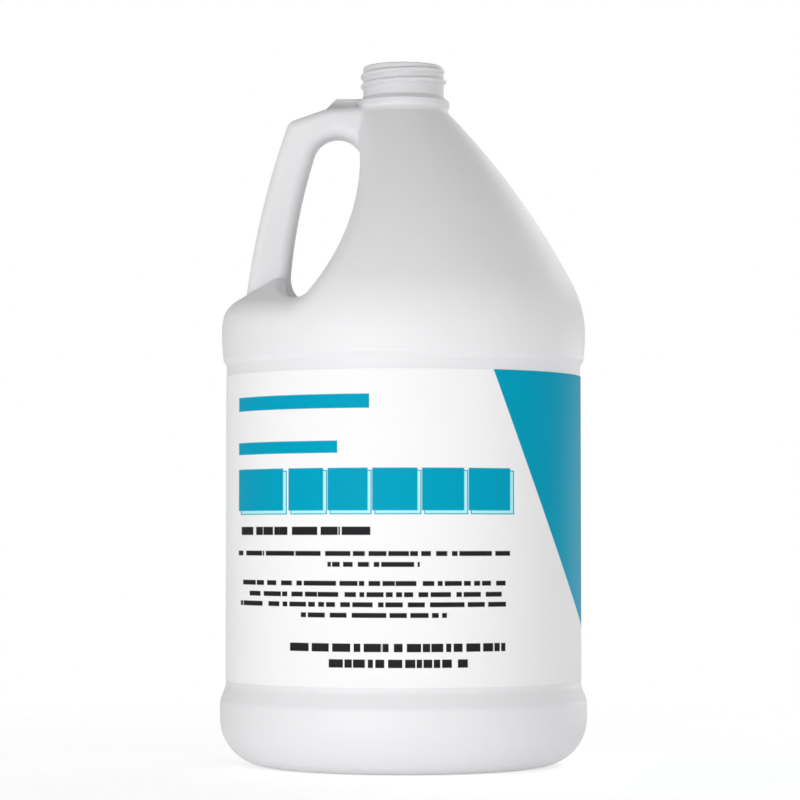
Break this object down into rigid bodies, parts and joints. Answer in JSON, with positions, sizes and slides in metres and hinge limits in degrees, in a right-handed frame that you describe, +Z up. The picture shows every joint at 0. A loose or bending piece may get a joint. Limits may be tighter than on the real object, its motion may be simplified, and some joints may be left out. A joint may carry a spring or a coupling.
{
  "type": "bleach bottle",
  "caption": "Round blown plastic jug with a hollow loop handle, scooped shoulder, open screw neck and a wraparound label on a recessed panel.",
  "frame": {"origin": "centre of the base on the plane it stands on", "axes": "+Z up along the neck's axis, -X towards the handle, -Y towards the front of the label"},
  "size_m": [0.157, 0.157, 0.3],
  "materials": {
    "bottle": "natural white blown polyethylene, fine satin texture",
    "label": "white printed film label, satin"
  },
  "bodies": {
    "root": {"bottle": "bottle", "label": "label"}
  },
  "joints": []
}
